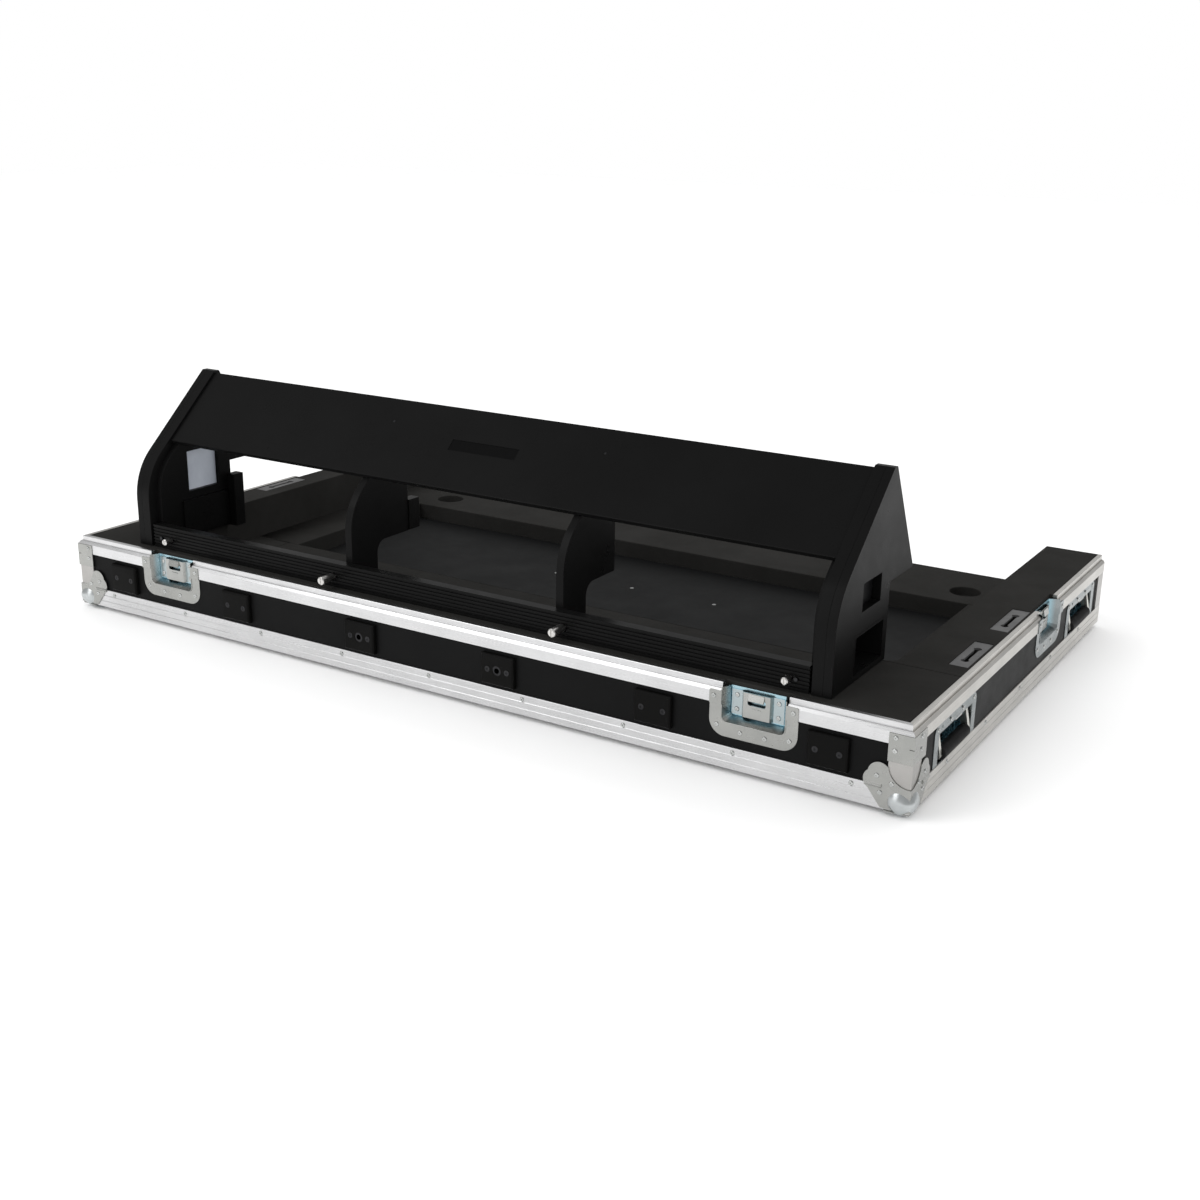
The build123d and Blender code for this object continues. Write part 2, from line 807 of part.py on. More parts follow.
def spring_spot(turn):
    """A place on the spring's wire, and the wire's direction there, after so many turns."""
    radius = spring_radius
    angle = 2 * math.pi * turn
    spot = Vector(
        spring_start + spring_pitch * turn,
        handle_pivot_depth + radius * math.sin(angle),
        handle_pivot_height + radius * math.cos(angle),
    )
    rise = spring_pitch / (2 * math.pi)
    direction = Vector(rise, radius * math.cos(angle), -radius * math.sin(angle))
    return spot, direction.normalized()


def tangent_arc(start, control, end):
    """The arc from start to end that is tangent to both sides of the corner at control."""
    chord_middle = (start + end) / 2
    lean = (end - start).length / (2 * (control - start).length)
    return ThreePointArc(start, chord_middle + (control - chord_middle) * (lean / (1 + lean)), end)


def half_turn(turn):
    """Two tangent arcs that follow half a turn of the spring's wire."""
    start, leave = spring_spot(turn)
    end, arrive = spring_spot(turn + 0.5)
    across = end - start
    along = across.dot(leave + arrive)
    bend = 2 * (1 - leave.dot(arrive))
    reach = (math.sqrt(along**2 + bend * across.dot(across)) - along) / bend
    first = start + leave * reach
    last = end - arrive * reach
    join = (first + last) / 2
    return [tangent_arc(start, first, join), tangent_arc(join, last, end)]


def spring_gap():
    """The least space between one turn of the wire and the next, measured on points."""
    steps = 40
    spots = [spring_spot(index / steps)[0] for index in range(spring_turns * steps + 1)]
    least = math.inf
    for index, spot in enumerate(spots):
        for other in spots[index + steps // 2:]:
            least = min(least, (spot - other).length)
    return least - spring_wire


def handle_spring():
    """The torsion spring round the pivot pin, with one leg back to the dish."""
    start, leave = spring_spot(0)
    end, arrive = spring_spot(spring_turns)
    dish_back = angle_wall + handle_dish_depth
    leg = (dish_back - spring_clearance - end.Y) / arrive.Y
    path = [Line(start - leave * spring_wire, start)]
    for index in range(2 * spring_turns):
        path += half_turn(index / 2)
    path.append(Line(end, end + arrive * leg))
    wire = Wire(path)
    section = Plane(origin=wire @ 0, z_dir=wire % 0) * Circle(spring_wire / 2)
    return sweep(section, path=wire)


def handles():
    dish = handle_dish()
    bail = handle_bail()
    grip = handle_grip()
    pin_half = handle_mouth_width / 2
    pin = cylinder_x(
        handle_pin_diameter / 2, -pin_half, pin_half, handle_pivot_depth, handle_pivot_height
    )
    right = [seat for name, seat in handle_seats.items() if name.startswith("right")]
    left = [seat for name, seat in handle_seats.items() if name.startswith("left")]
    write("right_handle_dishes", [seat * dish for seat in right])
    write("left_handle_dishes", [seat * dish for seat in left])
    for name, seat in handle_seats.items():
        write(f"handle_bail_{name}", [seat * bail])
        write(f"handle_grip_{name}", [seat * grip])
    write("handle_pins", [seat * pin for seat in handle_seats.values()])
    spring = handle_spring()
    print("least gap between the turns of a handle spring:", round(spring_gap(), 2), "mm")
    write("handle_springs", [seat * spring for seat in handle_seats.values()])
    heads = []
    ridge_z = (handle_mouth_top + rim_face_bottom) / 2
    plain_face = angle_wall - sheet_thickness
    near, far = handle_rivet_places
    for side in (-1, 1):
        heads.append(rivet(side * near, ridge_z, plain_face - handle_ridge_height))
        heads.append(rivet(side * far, ridge_z, plain_face))
    write("handle_rivets", [seat * head for seat in handle_seats.values() for head in heads])


# Corner hardware
def ball_flange():
    """The lobed front flange of a ball corner, the tray's corner edge at X = 0."""
    thin = sheet_thickness
    body = make_face(
        Polyline(
            (-ball_flange_reach + 2, 30),
            (-36, 2),
            (thin, 2),
            (thin, 60),
            (-30, 56),
            (-44, 50),
            close=True,
        )
    )
    left_lobe = Pos(-46, 36) * Circle(14)
    top_lobe = Pos(-40, 45.5) * Circle(14.5)
    bite = Pos(-2, 60) * Circle(27.5)
    outline = (body + left_lobe + top_lobe) - bite
    plane = Plane(origin=(0, 0, 0), x_dir=(1, 0, 0), z_dir=(0, -1, 0))
    ridge = along_x(
        [(0, 27), (-thin, 27), (-thin - 1.6, 29.5), (-thin - 1.6, 31), (-thin, 33.5), (0, 33.5)],
        [0] * 6,
        -ball_flange_reach + 2,
        -36,
    )
    return extrude(plane * outline, amount=thin) + ridge


def ball_corner():
    """One ball corner at the lower right of the front: a ball between two flanges."""
    thin = sheet_thickness
    front = ball_flange()
    side = Rot(0, 0, 90) * mirror(front, about=Plane.YZ)
    under = block(-28, 0, 0, 28, -thin, 0) + block(-32, -18, -2, 16, -thin, 0)
    ball = Pos(-ball_inset, ball_inset, ball_height) * Sphere(ball_radius)
    tray_corner = block(-200, 0, 0, 200, 0, 200)
    below_floor = block(-100, 50, -50, 100, -60, -foot_height)
    return ((ball - tray_corner) + front + side + under) - below_floor


def corners():
    place = Pos(half_length, -half_depth, 0)
    right_ball = place * ball_corner()
    write("ball_corners", [right_ball, mirror(right_ball, about=Plane.YZ)])

    thin = sheet_thickness
    brace = block(-brace_front_width, thin, -thin, 0, brace_bottom, brace_top)
    brace += block(0, thin, -thin, brace_side_width, brace_bottom, brace_top)
    brace -= block(-5, 5, -5, -0.4, 83.6, 84.4)
    brace = place * brace
    write("corner_braces", [brace, mirror(brace, about=Plane.YZ)])

    heads = []
    for x, z in corner_rivet_places:
        heads.append(place * rivet(x, z, -thin))
        heads.append(place * Rot(0, 0, 90) * rivet(-x, z, -thin))
    for z in brace_rivet_heights:
        heads.append(place * rivet(-brace_rivet_inset, z, -thin))
        heads.append(place * Rot(0, 0, 90) * rivet(brace_rivet_inset, z, -thin))
    heads += [mirror(head, about=Plane.YZ) for head in heads]
    write("corner_rivets", heads)

    tall = foot_height + base_bottom
    disc = Cylinder(foot_diameter / 2, tall)
    disc = fillet(disc.edges().filter_by(GeomType.CIRCLE).sort_by(Axis.Z)[0], 1.0)
    foot = Pos(half_length - foot_inset, half_depth - foot_inset, base_bottom - tall / 2)
    pair = [foot * disc]
    write("rear_feet", pair + [mirror(part, about=Plane.YZ) for part in pair])


def bottom_rivets():
    heads = []
    count = int(half_length // bottom_rivet_pitch)
    for step in range(-count, count + 1):
        head = rivet(step * bottom_rivet_pitch, bottom_rivet_height, 0)
        heads.append(on_front(0) * head)
        heads.append(mirror(on_front(0) * head, about=Plane.XZ))
    side_pitch = (tray_depth - 2 * handle_from_rear) / 4
    for step in (-2, -1, 0, 1, 2):
        head = rivet(step * side_pitch, bottom_rivet_height, 0)
        heads.append(on_right(half_depth) * head)
        heads.append(on_left(half_depth) * head)
    write("bottom_rivets", heads)


# Pads on the front board
def pads():
    face = angle_wall
    low = pad_centre_height - pad_height / 2
    places = [pad_pitch * (index - 2.5) for index in range(6)]

    def pad(x):
        body = block(
            x - pad_width / 2, x + pad_width / 2, face - pad_thickness, face, low, low + pad_height
        )
        front = body.faces().sort_by(Axis.Y)[0]
        body = chamfer(front.edges(), pad_bevel)
        for side in (-1, 1):
            place = x + side * pad_screw_spacing / 2
            sink = Pos(place, face - pad_thickness + 1.5, pad_centre_height) * Rot(90, 0, 0)
            body -= sink * Cone(2.0, 4.5, 3.0)
            body -= cylinder_y(2.0, place, face - pad_thickness, face, pad_centre_height)
        return body

    plain = [on_front(0) * pad(x) for x in places if abs(x) > pad_pitch]
    write("front_pads", plain)
    held = []
    rings = []
    for x in (places[2], places[3]):
        pad_front = face - pad_thickness
        hole = cylinder_y(insert_diameter / 2, x, pad_front - 1, face + 1, pad_centre_height)
        held.append(on_front(0) * (pad(x) - hole))
        ring_front = face - pad_thickness + 0.6
        ring_back = ring_front + insert_length
        ring = cylinder_y(insert_diameter / 2, x, ring_front, face, pad_centre_height)
        ring += cylinder_y(insert_bore / 2 + insert_wall, x, face, ring_back, pad_centre_height)
        ring -= cylinder_y(insert_bore / 2, x, ring_front - 1, ring_back + 1, pad_centre_height)
        rings.append(on_front(0) * ring)
    write("insert_pads", held)
    write("pad_inserts", rings)
    screws = []
    for x in places:
        for side in (-1, 1):
            place = x + side * pad_screw_spacing / 2
            top = face - pad_thickness + 0.4
            turn = Pos(place, top + 1.3, pad_centre_height) * Rot(90, 0, 0)
            head = turn * Cone(2.0, screw_head_radius, 2.6)
            shank = cylinder_y(1.9, place, top + 2.6, face, pad_centre_height)
            drive = Box(4.4, 1.9, 1.0) + Box(1.0, 1.9, 4.4)
            screws.append(on_front(0) * ((head + shank) - Pos(place, top, pad_centre_height) * drive))
    write("pad_screws", screws)


# Cradle
def slope_line(y, drop):
    """Height of the cheek's sloped edge at a distance from the front, dropped square to it."""
    peak = cheek_peak_height + slope * (y - cheek_peak_front)
    return peak - drop / math.cos(math.radians(cheek_slope))


def cheek_outline():
    front_corner = slope_line(cheek_front, 0)
    return [
        (from_front(cheek_front), cradle_foot),
        (from_front(cheek_front), front_corner),
        (from_front(cheek_peak_front), cheek_peak_height),
        (from_front(cheek_peak_front + cheek_peak_flat), cheek_peak_height),
        (from_front(cheek_back), wing_height),
        (from_front(leg_rear), wing_height),
        (from_front(leg_rear), cradle_foot),
    ]


def window(sizes, x0, x1):
    """A through box for a window given as front, rear, low and high."""
    front, rear, low, high = sizes
    return block(x0, x1, from_front(front), from_front(rear), low, high)


def lining_outline(rear_points):
    """The shape shared by the cheeks' linings and the ribs: it follows the panel's underside."""
    start = sill_front + sill_thickness
    drop = panel_recess + panel_thickness
    return [
        (from_front(start), cradle_foot),
        (from_front(start), slope_line(start, drop)),
    ] + rear_points


def cheeks():
    radii = [0, cheek_curve_radius, 1.0, 1.5, 2.0, 3.0, 0]
    outer_x = cradle_half_length
    middle_x = outer_x - outer_plate
    inner_x = middle_x - middle_plate
    lining_x = inner_x - inner_plate
    outline = cheek_outline()

    outer = along_x(outline, radii, middle_x, outer_x)
    outer -= window(name_window, 0, outer_x + 1)
    outer -= window(cup_window, 0, outer_x + 1)
    middle = along_x(outline, radii, inner_x, middle_x)
    middle -= window(diffuser_window, 0, outer_x)
    middle -= window(cup_window, 0, outer_x)

    drop = panel_recess + panel_thickness
    top_y = cheek_peak_front - 12
    rear_points = [
        (from_front(top_y), slope_line(top_y, drop)),
        (from_front(leg_rear), wing_height + 60),
        (from_front(leg_rear), cradle_foot),
    ]
    lining_radii = [0, cheek_curve_radius - 17, 1, 2, 0]
    lining = along_x(lining_outline(rear_points), lining_radii, lining_x, inner_x)
    lining -= window(diffuser_window, 0, outer_x)
    lining -= window(cup_window, 0, outer_x)

    def both(shape):
        return [shape, mirror(shape, about=Plane.YZ)]

    write("cheek_outer_plates", both(outer))
    write("cheek_middle_plates", both(middle))
    write("cheek_linings", both(lining))

    front, rear, low, high = diffuser_window
    gap = fit_gap
    diffuser = window(
        (front + gap, rear - gap, low + gap, high - gap), middle_x - diffuser_thickness, middle_x
    )
    write("cheek_window_plates", both(diffuser))

    front, rear, low, high = cup_window
    back_x = lining_x - cup_wall
    cup = window((front, rear, low, high), back_x, outer_x)
    cup -= window(
        (front + cup_wall, rear - cup_wall, low + cup_wall, high - cup_wall), lining_x, outer_x + 1
    )
    for place in cup_bar_places:
        bar = Pos(outer_x - 16, from_front(place), (low + high) / 2)
        cup += bar * Cylinder(cup_bar_diameter / 2, high - low - 2)
    write("cheek_cups", both(cup))

    batten = block(
        lining_x - batten_width,
        lining_x,
        from_front(batten_front),
        from_front(batten_rear),
        cradle_foot,
        batten_top,
    )
    extra = block(
        rib_places[0] - batten_width / 2,
        rib_places[0] + batten_width / 2,
        from_front(rib_rear),
        from_front(block_rear),
        block_bottom,
        block_top,
    )
    write("rear_battens", both(batten) + [extra])


def ribs():
    drop = panel_recess + panel_thickness
    rear_points = [
        (from_front(rib_rear), slope_line(rib_rear, drop)),
        (from_front(rib_rear), rib_notch_height),
        (from_front(rib_leg_rear), rib_notch_height),
        (from_front(rib_leg_rear), cradle_foot),
    ]
    radii = [0, cheek_curve_radius - 17, 1, 1.5, rib_notch_radius, 0]
    found = []
    for x in rib_places:
        found.append(
            along_x(lining_outline(rear_points), radii, x - rib_thickness / 2, x + rib_thickness / 2)
        )
    write("ribs", found)


def panel_place(along, out):
    """Y and Z at a distance up the panel's face from its lower edge, and out of the face."""
    angle = math.radians(cheek_slope)
    start = slope_line(panel_low_edge, panel_recess)
    y = panel_low_edge + along * math.cos(angle) - out * math.sin(angle)
    z = start + along * math.sin(angle) + out * math.cos(angle)
    return from_front(y), z


def panel():
    inner_x = cradle_half_length - outer_plate - middle_plate
    corners_of_section = [
        panel_place(0, 0),
        panel_place(panel_width, 0),
        panel_place(panel_width, -panel_thickness),
        panel_place(0, -panel_thickness),
    ]
    board = along_x(corners_of_section, [1.0] * 4, -inner_x, inner_x)
    low = front_plate_from_edge
    high = front_plate_from_edge + front_plate_height
    pocket = [
        panel_place(low, -front_plate_depth),
        panel_place(low, 5),
        panel_place(high, 5),
        panel_place(high, -front_plate_depth),
    ]
    half = front_plate_width / 2
    board -= along_x(pocket, [0] * 4, -half, half)
    plate_section = [
        panel_place(low + fit_gap, -front_plate_depth),
        panel_place(low + fit_gap, -0.5),
        panel_place(high - fit_gap, -0.5),
        panel_place(high - fit_gap, -front_plate_depth),
    ]
    plate = along_x(plate_section, [0] * 4, -half + fit_gap, half - fit_gap)
    screws = []
    for x in rib_places:
        y, z = panel_place(panel_screw_from_edge, -1.5)
        aim = Pos(x, y, z) * Rot(-(90 - cheek_slope), 0, 0) * Rot(90, 0, 0)
        board -= aim * Cone(screw_head_radius + 0.2, 2.2, 3.4)
        head = aim * Cone(screw_head_radius, 2.0, 2.8)
        screws.append(head)
    write("sloped_panel", [board])
    write("panel_name_plate", [plate])
    return screws


def sill():
    end = cradle_half_length - outer_plate - middle_plate - 4.0
    front = from_front(sill_front)
    back = from_front(sill_front + sill_thickness)
    board = block(-end, end, front, back, cradle_foot, sill_top)
    for index in range(sill_grooves):
        z = sill_top - 4.5 - index * sill_groove_pitch
        groove = [
            (front - 1, z - 1.8),
            (front + sill_groove_depth, z - 0.9),
            (front + sill_groove_depth, z + 0.9),
            (front - 1, z + 1.8),
        ]
        board -= along_x(groove, [0] * 4, -end - 1, end + 1)

    def stud(x, diameter):
        return cylinder_y(diameter / 2, x, front, front + pin_seat, pin_height)

    def pin(x, diameter, length, stud_diameter):
        tip = front - length
        stick = cylinder_y(diameter / 2, x, tip, front, pin_height)
        stick = chamfer(stick.edges().filter_by(GeomType.CIRCLE).sort_by(Axis.Y)[0], pin_chamfer)
        slit = block(x - 0.8, x + 0.8, tip - 1, tip + 1.2, pin_height - 10, pin_height + 10)
        return (stick + stud(x, stud_diameter)) - slit

    long_pins = []
    short_pins = []
    for x in long_pin_places:
        long_pins.append(pin(x, long_pin_diameter, long_pin_length, long_pin_stud))
        board -= stud(x, long_pin_stud)
    for x in short_pin_places:
        short_pins.append(pin(x, short_pin_diameter, short_pin_length, short_pin_stud))
        board -= stud(x, short_pin_stud)
    small = []
    for x in (-small_screw_offset, small_screw_offset):
        screw = cylinder_y(2.6, x, front - 2.2, front + 4.0, pin_height + 1.0)
        board -= screw
        small.append(screw)
    write("sill_board", [board])
    write("long_pins", long_pins)
    write("short_pins", short_pins)
    return small


def cradle():
    cheeks()
    ribs()
    screws = panel()
    screws += sill()
    write("cradle_screws", screws)


os.makedirs("parts", exist_ok=True)
boards()
rims()
bottom_angles()
corner_angles()
foam()
ledge_plates()
latches()
handles()
corners()
bottom_rivets()
pads()
cradle()
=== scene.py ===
# %% [markdown]
# # Base tray of a mixer flight case
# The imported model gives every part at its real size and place. This script keeps those parts,
# gives each one its finish, softens the cut edges of boards and foam, and winds the handle
# springs. Each step first says what the real thing is and why it is made the way it is.

import json
import math

import bmesh
import bpy
from mathutils import Matrix, Vector


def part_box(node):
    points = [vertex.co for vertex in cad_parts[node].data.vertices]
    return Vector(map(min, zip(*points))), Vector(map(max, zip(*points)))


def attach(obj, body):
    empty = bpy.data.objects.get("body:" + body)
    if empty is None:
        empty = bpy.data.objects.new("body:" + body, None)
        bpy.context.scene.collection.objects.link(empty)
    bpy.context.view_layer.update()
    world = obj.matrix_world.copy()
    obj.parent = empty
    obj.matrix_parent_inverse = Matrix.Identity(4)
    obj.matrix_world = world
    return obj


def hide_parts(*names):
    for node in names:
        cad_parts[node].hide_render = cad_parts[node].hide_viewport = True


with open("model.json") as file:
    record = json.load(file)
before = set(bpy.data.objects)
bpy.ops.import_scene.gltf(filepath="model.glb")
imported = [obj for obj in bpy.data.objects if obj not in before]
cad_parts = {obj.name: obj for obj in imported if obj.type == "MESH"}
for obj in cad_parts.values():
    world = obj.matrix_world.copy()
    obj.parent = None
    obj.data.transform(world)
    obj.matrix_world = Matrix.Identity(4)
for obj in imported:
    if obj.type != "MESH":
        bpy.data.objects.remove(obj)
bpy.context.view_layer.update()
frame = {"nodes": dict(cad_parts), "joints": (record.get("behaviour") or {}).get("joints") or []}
nodes = frame["nodes"]
scene = bpy.context.scene
print("nodes in the model:", len(nodes))

# %% [markdown]
# ## The camera
# The case was photographed from beyond its front right corner, from a little above. Both its
# front and its right side narrow clearly as they go back, so the camera stands fairly near
# and has a normal lens. The place and the lens below put the tray's corners where the
# photograph has them.

# %% Camera
camera_place = Vector((1.2569, -2.0139, 0.8121))
camera_azimuth = math.radians(31.497)
camera_drop = math.radians(18.283)
camera_roll = math.radians(0.906)
focal_length = 45.85
sensor_width = 36.0
farthest_seen = 60.0

lens = bpy.data.cameras.new("camera")
lens.lens = focal_length
lens.sensor_width = sensor_width
lens.clip_end = farthest_seen
camera = bpy.data.objects.new("camera", lens)
turn = Matrix.Rotation(camera_azimuth, 4, "Z")
turn = turn @ Matrix.Rotation(math.radians(90) - camera_drop, 4, "X")
turn = turn @ Matrix.Rotation(camera_roll, 4, "Z")
camera.matrix_world = Matrix.Translation(camera_place) @ turn
scene.collection.objects.link(camera)
scene.camera = camera
print("camera at", tuple(round(c, 3) for c in camera_place))

# %% [markdown]
# ## World, floor and light
# The photograph has a white studio sweep. A plain floor that fades into an equally white
# world does the same, and still takes the soft shadow under the case. Light Path tells the
# rays apart, so the world can be pure white to the camera and darker where metal mirrors it.

# %% World
scene.view_settings.view_transform = "Standard"
white = (1.0, 1.0, 1.0, 1.0)


def math_node(tree, operation):
    """A math node that does one operation."""
    node = tree.nodes.new("ShaderNodeMath")
    node.operation = operation
    return node


def white_world(seen, reflected, lit):
    """A white world with one level for the camera, one in reflections and one for light."""
    world = bpy.data.worlds.new("studio")
    world.use_nodes = True
    tree = world.node_tree
    background = tree.nodes["Background"]
    background.inputs["Color"].default_value = white
    path = tree.nodes.new("ShaderNodeLightPath")
    mirrored = math_node(tree, "MULTIPLY_ADD")
    mirrored.inputs[1].default_value = reflected - lit
    mirrored.inputs[2].default_value = lit
    shown = math_node(tree, "MULTIPLY_ADD")
    shown.inputs[1].default_value = seen - lit
    tree.links.new(path.outputs["Is Glossy Ray"], mirrored.inputs[0])
    tree.links.new(path.outputs["Is Camera Ray"], shown.inputs[0])
    tree.links.new(mirrored.outputs[0], shown.inputs[2])
    tree.links.new(shown.outputs[0], background.inputs["Strength"])
    return world


scene.world = white_world(seen=1.0, reflected=0.50, lit=1.03)
print("world:", scene.world.name)

# %% [markdown]
# The floor is one wide square, so wide that its edge is never seen. It is dull and almost
# white.

# %% Floor
floor_reach = 12.0
floor_colour = (0.995, 0.995, 0.995, 1.0)
floor_roughness = 0.9
floor_shine = 0.1


def new_material(name):
    """A node material, with its Principled shader."""
    material = bpy.data.materials.new(name)
    material.use_nodes = True
    return material, material.node_tree.nodes["Principled BSDF"]


floor_shape = bmesh.new()
bmesh.ops.create_grid(floor_shape, x_segments=1, y_segments=1, size=floor_reach)
floor_mesh = bpy.data.meshes.new("floor")
floor_shape.to_mesh(floor_mesh)
floor_shape.free()
floor_paint, floor_shader = new_material("floor_paint")
floor_shader.inputs["Base Color"].default_value = floor_colour
floor_shader.inputs["Roughness"].default_value = floor_roughness
floor_shader.inputs["Specular IOR Level"].default_value = floor_shine
floor_mesh.materials.append(floor_paint)
floor = bpy.data.objects.new("floor", floor_mesh)
scene.collection.objects.link(floor)
print("floor reaches", max(point.co.x for point in floor_mesh.vertices), "m from the middle")

# %% [markdown]
# Black boards only show their shape through broad reflections, so the lamps are large and
# few: the strongest high on the left, a weak one behind, and one low in front.

# %% Lamps
tray_middle = (0.0, 0.0, 0.1)
front_middle = (0.2, -0.3, 0.1)


def soft_lamp(name, place, target, width, power):
    """A large square lamp that faces its target."""
    data = bpy.data.lights.new(name, "AREA")
    data.size = width
    data.energy = power
    lamp = bpy.data.objects.new(name, data)
    aim = (Vector(target) - Vector(place)).to_track_quat("-Z", "Y")
    lamp.matrix_world = Matrix.Translation(place) @ aim.to_matrix().to_4x4()
    scene.collection.objects.link(lamp)
    print("lamp", name, "of", power, "W")


soft_lamp("key", (-1.8, -2.4, 2.8), tray_middle, width=1.8, power=26.0)
soft_lamp("back", (0.6, 2.6, 2.6), tray_middle, width=2.2, power=12.0)
soft_lamp("front", (-1.6, -3.4, 1.3), front_middle, width=2.2, power=20.0)

# %% [markdown]
# ## Effects that several finishes share
# Black boards, foam and metal all need fine detail at the right scale: pores, brush lines,
# smears of dust. Each effect is one node group with named inputs, so a finish only chooses
# its sizes. Every group reads a place on the piece and gives out one number.

# %% Helpers for node groups


def new_group(name, numbers, result):
    """A node group that reads a place and some named numbers, with its input and output."""
    group = bpy.data.node_groups.new(name, "ShaderNodeTree")
    sockets = group.interface
    sockets.new_socket(name="Vector", in_out="INPUT", socket_type="NodeSocketVector")
    for label, value in numbers.items():
        socket = sockets.new_socket(name=label, in_out="INPUT", socket_type="NodeSocketFloat")
        socket.default_value = value
    sockets.new_socket(name=result, in_out="OUTPUT", socket_type="NodeSocketFloat")
    return group, group.nodes.new("NodeGroupInput"), group.nodes.new("NodeGroupOutput")


def spread_noise(group, given, out, place, scale, detail, lowest, highest):
    """Noise at a place, whose middle range is spread from the group's Low to its High."""
    noise = group.nodes.new("ShaderNodeTexNoise")
    noise.inputs["Detail"].default_value = detail
    spread = group.nodes.new("ShaderNodeMapRange")
    spread.inputs["From Min"].default_value = lowest
    spread.inputs["From Max"].default_value = highest
    group.links.new(place, noise.inputs["Vector"])
    group.links.new(given.outputs[scale], noise.inputs["Scale"])
    group.links.new(noise.outputs["Fac"], spread.inputs["Value"])
    group.links.new(given.outputs["Low"], spread.inputs["To Min"])
    group.links.new(given.outputs["High"], spread.inputs["To Max"])
    group.links.new(spread.outputs["Result"], out.inputs["Value"])
    return noise


# %% [markdown]
# Dust, wear and finger marks are broad and uneven, as noise with much fine detail is.

# %% Smears


def build_smears():
    """Broad uneven patches, such as dust, wear or finger marks."""
    group, given, out = new_group("smears", {"Scale": 8.0, "Low": 0.0, "High": 1.0}, "Value")
    noise = spread_noise(
        group, given, out, given.outputs["Vector"], "Scale", detail=6.0, lowest=0.32, highest=0.68
    )
    noise.inputs["Roughness"].default_value = 0.62
    return group


smears = build_smears()
print("node group:", smears.name)

# %% [markdown]
# Drawn metal keeps the fine lines of its die. Noise gives such lines when its place is
# squeezed along X, because a slow change that way reads as a long streak.

# %% Brush lines
line_squeeze = (0.012, 1.0, 1.0)


def build_brush_lines():
    """Fine parallel lines along X, as drawn or brushed metal has."""
    group, given, out = new_group(
        "brush_lines", {"Lines per metre": 900.0, "Low": 0.0, "High": 1.0}, "Value"
    )
    squeeze = group.nodes.new("ShaderNodeVectorMath")
    squeeze.operation = "MULTIPLY"
    squeeze.inputs[1].default_value = line_squeeze
    group.links.new(given.outputs["Vector"], squeeze.inputs[0])
    place = squeeze.outputs["Vector"]
    spread_noise(
        group, given, out, place, "Lines per metre", detail=3.0, lowest=0.3, highest=0.7
    )
    return group


brush_lines = build_brush_lines()
print("node group:", brush_lines.name)

# %% [markdown]
# The boards' faces are pebbled, and foam is a mass of cells. Smooth Voronoi cells with finer
# noise on top stand for both, as a height for the Bump node.

# %% Pores


def build_pores():
    """A pebbled or cellular surface, from fine cells and finer noise."""
    group, given, out = new_group("pores", {"Cells per metre": 700.0}, "Height")
    cells = group.nodes.new("ShaderNodeTexVoronoi")
    cells.feature = "SMOOTH_F1"
    noise = group.nodes.new("ShaderNodeTexNoise")
    noise.inputs["Detail"].default_value = 2.0
    blend = math_node(group, "MULTIPLY_ADD")
    blend.inputs[1].default_value = 0.5
    for texture in (cells, noise):
        group.links.new(given.outputs["Vector"], texture.inputs["Vector"])
        group.links.new(given.outputs["Cells per metre"], texture.inputs["Scale"])
    group.links.new(cells.outputs["Distance"], blend.inputs[0])
    group.links.new(noise.outputs["Fac"], blend.inputs[2])
    group.links.new(blend.outputs["Value"], out.inputs["Height"])
    return group


pores = build_pores()
print("node group:", pores.name)

# %% [markdown]
# The pressed dishes are painted bluer inside than on their flanges, as a painted reflection.
# How deep a point lies is the smaller of its distances behind the tray's front and behind its side.

# %% Depth in a recess


def build_recess_depth():
    """How deep a point lies behind the tray's front and side faces, 0 at Near and 1 at Far."""
    group, given, out = new_group(
        "recess_depth",
        {"Half length": 0.715, "Front": -0.42, "Near": 0.002, "Far": 0.012},
        "Value",
    )
    split = group.nodes.new("ShaderNodeSeparateXYZ")
    from_middle = math_node(group, "ABSOLUTE")
    behind_side = math_node(group, "SUBTRACT")
    behind_front = math_node(group, "SUBTRACT")
    nearest = math_node(group, "MINIMUM")
    fade = group.nodes.new("ShaderNodeMapRange")
    fade.interpolation_type = "SMOOTHSTEP"
    group.links.new(given.outputs["Vector"], split.inputs["Vector"])
    group.links.new(split.outputs["X"], from_middle.inputs[0])
    group.links.new(given.outputs["Half length"], behind_side.inputs[0])
    group.links.new(from_middle.outputs[0], behind_side.inputs[1])
    group.links.new(split.outputs["Y"], behind_front.inputs[0])
    group.links.new(given.outputs["Front"], behind_front.inputs[1])
    group.links.new(behind_side.outputs[0], nearest.inputs[0])
    group.links.new(behind_front.outputs[0], nearest.inputs[1])
    group.links.new(nearest.outputs[0], fade.inputs["Value"])
    group.links.new(given.outputs["Near"], fade.inputs["From Min"])
    group.links.new(given.outputs["Far"], fade.inputs["From Max"])
    group.links.new(fade.outputs["Result"], out.inputs["Value"])
    return group


recess_depth = build_recess_depth()
print("node group:", recess_depth.name)

# %% [markdown]
# ## Putting a finish together
# A finish starts from two close colours that a smear mask blends, a roughness range driven
# by another mask, and a small bump. The helpers below wire those parts, so that each finish
# reads as a short list of choices.

# %% Helpers for finishes


def place_group(material, group, **values):
    """Put a shared group into a material, with its own values for the named inputs."""
    node = material.node_tree.nodes.new("ShaderNodeGroup")
    node.node_tree = group
    for label, value in values.items():
        node.inputs[label.replace("_", " ")].default_value = value
    return node


